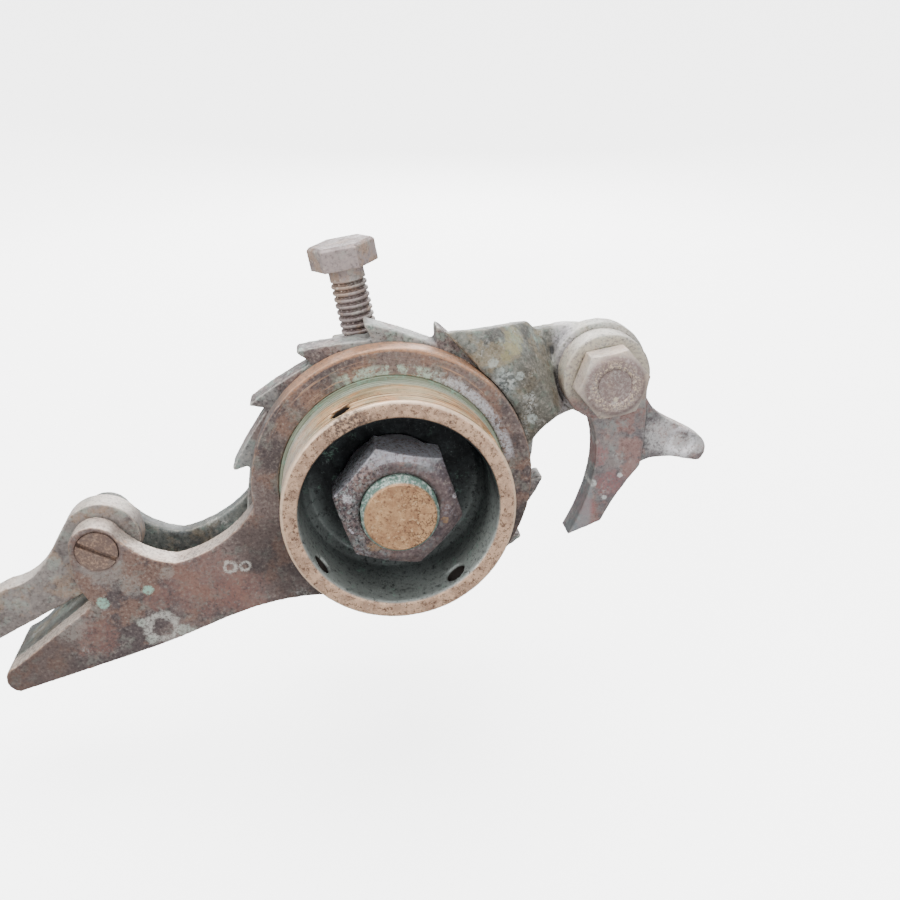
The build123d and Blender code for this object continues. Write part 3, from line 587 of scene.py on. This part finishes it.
def link_bronze():
    r = Recipe("link_bronze", metallic=0.45)
    colour = mottled(
        r,
        seed=120,
        base=tone(150, 142, 138),
        dark=tone(118, 110, 108),
        warm=tone(164, 142, 126),
        green=tone(160, 166, 158),
    )
    colour = grained(r, colour, seed=124, amount=0.30)
    # Painted highlight: paler on upward-facing skin.
    colour = painted_top_light(r, colour, tone(222, 212, 202), amount=0.7, low=0.3, high=0.8)
    colour = worn(r, colour, tone(204, 186, 168), tone(50, 46, 46))
    return r.finish(colour, skin_roughness(r, 120), skin_height(r, 120), relief=0.16)


def nut_bronze():
    r = Recipe("nut_bronze", metallic=0.5)
    colour = mottled(
        r,
        seed=140,
        base=tone(118, 102, 102),
        dark=tone(88, 78, 82),
        warm=tone(132, 108, 102),
        green=tone(120, 124, 126),
    )
    colour = grained(r, colour, seed=144, amount=0.3)
    # Painted reflection: a silvery tone on upward-facing skin, as if glinting under light from
    # above.
    top_reflection = r.times(r.facing_up(0.35, 0.6), r.broken(0.8))
    colour = r.mix(top_reflection, colour, tone(190, 192, 202))
    ochre_spots = [(-5.2, -7.4, 1.5), (9.4, -2.6, 0.8)]
    colour = marked(r, colour, tone(186, 148, 104), ochre_spots, amount=0.5)
    white_spots = [(11.6, 2.4, 0.6), (-10.4, 3.1, 1.0), (-7.5, 0.5, 0.8)]
    colour = marked(r, colour, tone(236, 232, 238), white_spots, amount=0.7)
    left = r.span(r.x, 1 * MM, -9 * MM)
    speckle = r.patches(0.7, 146, 0.50, 0.62, detail=5, rough=0.75)
    colour = r.mix(r.times(left, r.times(speckle, 0.55)), colour, tone(180, 192, 190))
    black = r.patches(0.6, 147, 0.50, 0.42, detail=5, rough=0.75)
    colour = r.mix(r.times(left, r.times(black, 0.8)), colour, tone(34, 36, 40))
    lilac = tone(206, 204, 214)
    colour = dusted(r, colour, lilac, seed=148, amount=0.6, low=0.58, high=0.70, size=3.5)
    colour = worn(r, colour, tone(200, 196, 204), tone(28, 30, 34), share=0.9)
    return r.finish(colour, skin_roughness(r, 140, 0.36, 0.64), skin_height(r, 140), relief=0.25)


def stud_face(r):
    """The stud's flat end: tan, pitted, and cracked on its right half."""
    blotches = r.patches(2.5, 160, 0.36, 0.66)
    colour = r.mix(blotches, tone(206, 164, 122), tone(166, 124, 92))
    pits = r.patches(0.9, 163, 0.49, 0.38, 0.0, 0.8, rough=0.75)
    colour = r.mix(pits, colour, tone(116, 82, 62))
    crack = r.span(r.distance(r.noise(3, 165), 0.5), 0.016, 0.004)
    right = r.span(r.x, -1 * MM, 3 * MM, 0.15, 1.0)
    colour = r.mix(r.times(crack, right), colour, tone(70, 46, 36))
    light = r.patches(0.6, 167, 0.54, 0.66, 0.0, 0.6, detail=5)
    return r.mix(light, colour, tone(232, 200, 158))


def stud_bronze():
    r = Recipe("stud_bronze", metallic=0.4)
    dull_green, pale_green = tone(96, 122, 112), tone(200, 212, 204)
    thread = dusted(r, dull_green, pale_green, seed=167, amount=0.9, low=0.42, high=0.56, size=1.2)
    shank = mottled(
        r,
        seed=168,
        base=tone(128, 116, 102),
        dark=tone(92, 86, 78),
        warm=tone(150, 122, 98),
        green=tone(126, 134, 122),
    )
    shank = grained(r, shank, seed=169, amount=0.4)
    is_shank = r.span(r.y, STUD_END_Y + 8 * MM, STUD_END_Y + 9 * MM)
    side = r.mix(is_shank, thread, shank)
    is_face = r.span(r.y, STUD_END_Y + 0.7 * MM, STUD_END_Y + 0.2 * MM)
    colour = r.mix(is_face, side, stud_face(r))
    return r.finish(colour, skin_roughness(r, 160, 0.4, 0.7), skin_height(r, 160), relief=0.35)


def bolt_bronze():
    """Both hexagon bolts and the small screws. The pawl's bolt is the part to the right."""
    r = Recipe("bolt_bronze", metallic=0.45)
    colour = mottled(
        r,
        seed=180,
        base=tone(176, 162, 160),
        dark=tone(140, 126, 126),
        warm=tone(188, 160, 140),
        green=tone(178, 176, 170),
    )
    colour = grained(r, colour, seed=184, amount=0.3)
    right = r.span(r.x, 20 * MM, 30 * MM)
    colour = r.mix(r.times(right, r.broken(0.55)), colour, tone(222, 210, 192))
    # Painted shade: upward-facing skin of the heads, away from the pawl's bolt, is darkened.
    shaded_head_top = r.times(r.facing_up(), r.without(right))
    colour = r.mix(r.times(shaded_head_top, r.broken(0.85)), colour, tone(96, 82, 80))

    on_face = r.span(r.y, bolt_low.y + 1.6 * MM, bolt_low.y + 1.0 * MM)
    round_face = r.times(on_face, r.span(r.radius(BOLT_AXIS), 7.4 * MM, 6.2 * MM))
    colour = r.mix(r.times(round_face, r.broken(0.85)), colour, tone(126, 106, 106))
    foot = (BOLT_AXIS[0] + 0.3 * MM, BOLT_AXIS[1] - 3.0 * MM)
    pale_foot = r.spot(foot, 0.5 * MM, softness=0.4, wobble=1.2, seed=187)
    colour = r.mix(r.times(pale_foot, on_face, 0.7), colour, tone(232, 218, 190))
    flecks = r.patches(0.45, 188, 0.50, 0.60, detail=4)
    dish_edge = r.spot(BOLT_AXIS, 5.4 * MM, softness=0.15)
    dish_hole = r.span(r.radius(BOLT_AXIS), 3.6 * MM, 4.1 * MM)
    dish = r.times(dish_edge, dish_hole, on_face, r.times(flecks, 0.85))
    colour = r.mix(dish, colour, tone(226, 206, 176))
    colour = worn(r, colour, tone(222, 208, 194), tone(70, 52, 44), share=0.8)
    return r.finish(colour, skin_roughness(r, 180), skin_height(r, 180), relief=0.16)


def bush_bronze():
    r = Recipe("bush_bronze", metallic=0.45)
    ring = r.turned(SPINDLE_AXIS, around=1.0, across=1800, seed=200, detail=4, rough=0.6)
    colour = r.mix(r.span(ring, 0.38, 0.62), tone(178, 184, 166), tone(128, 132, 112))
    colour = dusted(r, colour, POWDER_GREEN, seed=203, amount=0.7, low=0.5, high=0.62, size=3.0)
    height = skin_height(r, 200, ring=ring)
    return r.finish(colour, skin_roughness(r, 200), height, relief=0.12)


def plate_bronze():
    r = Recipe("plate_bronze", metallic=0.4)
    colour = mottled(
        r,
        seed=220,
        base=tone(140, 128, 114),
        dark=tone(104, 98, 92),
        warm=tone(160, 136, 112),
        green=tone(136, 146, 136),
    )
    colour = grained(r, colour, seed=224, amount=0.45)
    colour = dusted(r, colour, POWDER_GREEN, seed=227, amount=0.6, low=0.56, high=0.68, size=8.0)
    stain = r.patches(20, 229, 0.50, 0.60, rough=0.65)
    colour = r.mix(r.times(stain, 0.6), colour, tone(74, 66, 60))
    # Painted highlight: paler on upward-facing skin.
    colour = painted_top_light(r, colour, tone(206, 198, 184), amount=0.5)
    colour = worn(r, colour, tone(200, 176, 146), GRIME)
    return r.finish(colour, skin_roughness(r, 220), skin_height(r, 220), relief=0.2)


def spring_steel():
    r = Recipe("spring_steel", metallic=0.9)
    oxide = r.patches(2, 240, 0.4, 0.65, detail=5, rough=0.55)
    colour = r.mix(oxide, tone(96, 96, 100), tone(62, 56, 54))
    colour = grained(r, colour, seed=244, amount=0.25)
    return r.finish(colour, skin_roughness(r, 240, 0.28, 0.5), skin_height(r, 240), relief=0.08)


MATERIALS = {
    "cup_bronze": cup_bronze(),
    "wheel_bronze": wheel_bronze(),
    "rear_bronze": rear_bronze(),
    "arm_bronze": arm_bronze(),
    "pawl_bronze": pawl_bronze(),
    "link_bronze": link_bronze(),
    "nut_bronze": nut_bronze(),
    "stud_bronze": stud_bronze(),
    "bolt_bronze": bolt_bronze(),
    "bush_bronze": bush_bronze(),
    "plate_bronze": plate_bronze(),
    "spring_steel": spring_steel(),
}
SLOT_OF = {part["node"]: part["material_slot"] for part in frame["record"]["subparts"]}
NODES_ON = frame["record"]["behaviour"]["bodies"]
BODY_OF = {node: body for body, nodes in NODES_ON.items() for node in nodes}

# ---------------------------------------------------------------- pieces
WELD_WITHIN = 0.001 * MM
SOFTENING_STEP = 0.5
LUMP_SIZE = 2.2 * MM
LUMP_DETAIL = 4
LUMP_MIDDLE = 0.62


def cast_piece(node, name, voxel, softening, grain):
    """A remeshed copy of a CAD node, its edges softened in so many steps.

    voxel is the size of the new mesh's faces and grain is the skin's unevenness, in mm.
    """
    piece = bpy.data.objects.new(name, frame["nodes"][node].data.copy())
    bpy.context.scene.collection.objects.link(piece)
    weld = piece.modifiers.new("weld", "WELD")
    weld.merge_threshold = WELD_WITHIN
    skin = piece.modifiers.new("skin", "REMESH")
    skin.mode = "VOXEL"
    skin.voxel_size = voxel * MM
    skin.use_smooth_shade = True
    soft = piece.modifiers.new("soft_edges", "SMOOTH")
    soft.factor = SOFTENING_STEP
    soft.iterations = softening
    clouds = bpy.data.textures.new(name + "_clouds", "CLOUDS")
    clouds.noise_scale = LUMP_SIZE
    clouds.noise_depth = LUMP_DETAIL
    uneven = piece.modifiers.new("uneven", "DISPLACE")
    uneven.texture = clouds
    uneven.texture_coords = "LOCAL"
    uneven.strength = grain * MM
    uneven.mid_level = LUMP_MIDDLE
    piece.data.materials.clear()
    piece.data.materials.append(MATERIALS[SLOT_OF[node]])
    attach(piece, BODY_OF[node])
    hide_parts(node)


cast_piece("tension_cup", "tension_cup_turned", voxel=0.34, softening=3, grain=0.10)
cast_piece("ratchet_wheel", "ratchet_wheel_cast", voxel=0.40, softening=4, grain=0.16)
cast_piece("arm_front_cheek", "arm_front_cheek_cast", voxel=0.36, softening=12, grain=0.14)
cast_piece("arm_rear_casting", "arm_rear_casting_cast", voxel=0.42, softening=10, grain=0.20)
cast_piece("pawl", "pawl_cast", voxel=0.30, softening=14, grain=0.18)
cast_piece("link", "link_cast", voxel=0.30, softening=14, grain=0.14)
cast_piece("spindle_nut", "spindle_nut_worn", voxel=0.24, softening=3, grain=0.16)
cast_piece("set_bolt", "set_bolt_worn", voxel=0.16, softening=2, grain=0.08)
cast_piece("pawl_bolt", "pawl_bolt_worn", voxel=0.22, softening=3, grain=0.10)

for node, shown in frame["nodes"].items():
    shown.data.materials.clear()
    shown.data.materials.append(MATERIALS[SLOT_OF[node]])

# ---------------------------------------------------------------- floor, light and camera
WHITE = (1.0, 1.0, 1.0, 1.0)
FLOOR_GREY = (0.92, 0.92, 0.92, 1.0)
FLOOR_ROUGHNESS = 0.9
# The closer hangs on a door frame, so the floor lies a little below it.
FLOOR_DROP = 26 * MM
FLOOR_FLAT = 0.9
FLOOR_RISE = 0.9
FLOOR_GLOW = 3.5
FLOOR_RINGS = 4
WALL_RINGS = 24
ROUND = 96
WORLD_GLOW = 0.6


def pale_floor(z):
    """A flat pale disc whose edge sweeps up into a round wall, as one smooth mesh."""
    profile = [(FLOOR_FLAT * step / FLOOR_RINGS, 0.0) for step in range(FLOOR_RINGS + 1)]
    for step in range(1, WALL_RINGS + 1):
        lift = pi / 2 * step / WALL_RINGS
        profile.append((FLOOR_FLAT + FLOOR_RISE * sin(lift), FLOOR_RISE * (1 - cos(lift))))
    vertices = [(0.0, 0.0, z)]
    for reach, height in profile[1:]:
        for k in range(ROUND):
            angle = 2 * pi * k / ROUND
            vertices.append((reach * cos(angle), reach * sin(angle), z + height))
    faces = [(0, 1 + k, 1 + (k + 1) % ROUND) for k in range(ROUND)]
    for ring in range(len(profile) - 2):
        first = 1 + ring * ROUND
        for k in range(ROUND):
            after = (k + 1) % ROUND
            faces.append((first + k, first + ROUND + k, first + ROUND + after, first + after))
    mesh = bpy.data.meshes.new("pale_floor")
    mesh.from_pydata(vertices, [], faces)
    mesh.polygons.foreach_set("use_smooth", [True] * len(mesh.polygons))
    floor = bpy.data.objects.new("pale_floor", mesh)
    bpy.context.scene.collection.objects.link(floor)
    material = bpy.data.materials.new("pale_floor")
    material.use_nodes = True
    shader = material.node_tree.nodes["Principled BSDF"]
    shader.inputs["Base Color"].default_value = FLOOR_GREY
    shader.inputs["Roughness"].default_value = FLOOR_ROUGHNESS
    shader.inputs["Emission Color"].default_value = WHITE
    shader.inputs["Emission Strength"].default_value = FLOOR_GLOW
    mesh.materials.append(material)
    floor.visible_diffuse = False
    floor.visible_glossy = False


def turn_towards(direction):
    return direction.to_track_quat("-Z", "Y").to_euler()


def soft_light(name, offset, size, power):
    """A round white lamp at offset from the object's middle, turned to face it."""
    lamp = bpy.data.lights.new(name, "AREA")
    lamp.shape = "DISK"
    lamp.size = size
    lamp.energy = power
    holder = bpy.data.objects.new(name, lamp)
    at = middle + Vector(offset)
    holder.location = at
    holder.rotation_euler = turn_towards(middle - at)
    bpy.context.scene.collection.objects.link(holder)


pale_floor(cad_box[0].z - FLOOR_DROP)
middle = (cad_box[0] + cad_box[1]) / 2
soft_light("sky_above", offset=(-0.05, 0.10, 1.10), size=1.3, power=25.0)
soft_light("glow_behind", offset=(0.15, 0.90, 0.50), size=0.9, power=12.0)
soft_light("window_left", offset=(-0.75, -0.55, 0.45), size=0.5, power=6.0)
soft_light("fill_front", offset=(0.35, -0.90, 0.30), size=0.7, power=4.2)

world = bpy.data.worlds.new("studio")
world.use_nodes = True
background = world.node_tree.nodes["Background"]
background.inputs["Color"].default_value = WHITE
background.inputs["Strength"].default_value = WORLD_GLOW
bpy.context.scene.world = world

CAMERA_AT = Vector((-0.014387, -0.241179, 0.084762))
CAMERA_PAN = 0.136
CAMERA_TILT = 0.376
CAMERA_LENS = 39.31
SENSOR_WIDTH = 36.0
NEAREST = 0.01
FARTHEST = 20.0

lens = bpy.data.cameras.new("camera")
lens.lens = CAMERA_LENS
lens.sensor_width = SENSOR_WIDTH
lens.clip_start = NEAREST
lens.clip_end = FARTHEST
camera = bpy.data.objects.new("camera", lens)
ahead = cos(CAMERA_TILT)
gaze = Vector((sin(CAMERA_PAN) * ahead, cos(CAMERA_PAN) * ahead, -sin(CAMERA_TILT)))
camera.location = CAMERA_AT
camera.rotation_euler = turn_towards(gaze)
bpy.context.scene.collection.objects.link(camera)
bpy.context.scene.camera = camera
